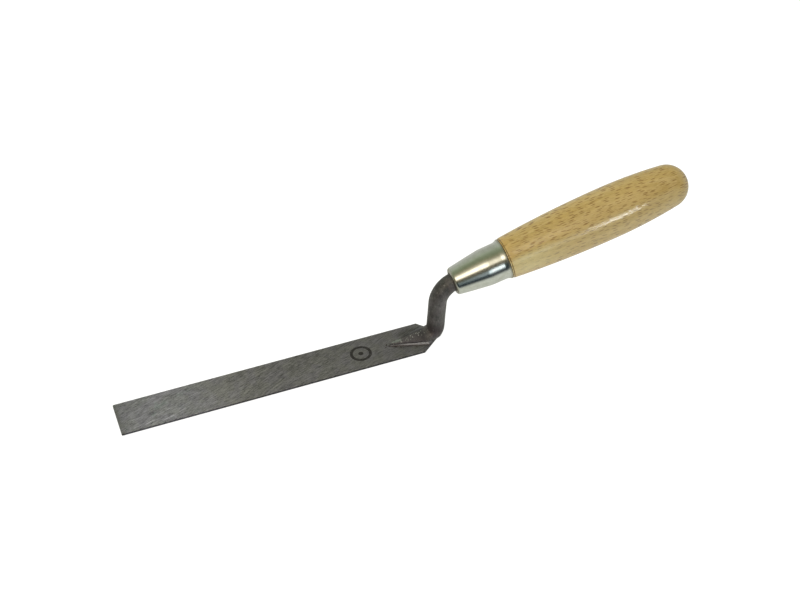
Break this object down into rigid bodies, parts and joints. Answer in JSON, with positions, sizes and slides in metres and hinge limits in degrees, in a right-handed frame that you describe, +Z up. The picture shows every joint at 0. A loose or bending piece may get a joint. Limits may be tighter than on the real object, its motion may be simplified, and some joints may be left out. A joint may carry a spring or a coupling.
{
  "type": "finger trowel",
  "caption": "Narrow flat-bladed jointing trowel: square-tipped steel blade, forged swan-neck shank on an arrowhead foot, plated ferrule and domed beech handle.",
  "frame": {"origin": "centre of the blade plate's flat underside, the working face, midway between its tip and its rear end", "axes": "+X along the blade from the tip towards the handle, +Z up out of the blade on the side the neck stands on, +Y to the left when looking from the tip's end along +X towards the handle"},
  "size_m": [0.29, 0.0254, 0.0653],
  "materials": {
    "ground_steel": "ground, fine diagonal scratches",
    "forged_steel": "as forged, dark scale",
    "weld_metal": "bright weld metal, lightly ground",
    "plated_steel": "bright nickel plate",
    "beech": "clear gloss varnish"
  },
  "bodies": {
    "root": {"blade": "ground_steel", "shank": "forged_steel", "weld": "weld_metal", "ferrule": "plated_steel", "handle": "beech"}
  },
  "joints": []
}
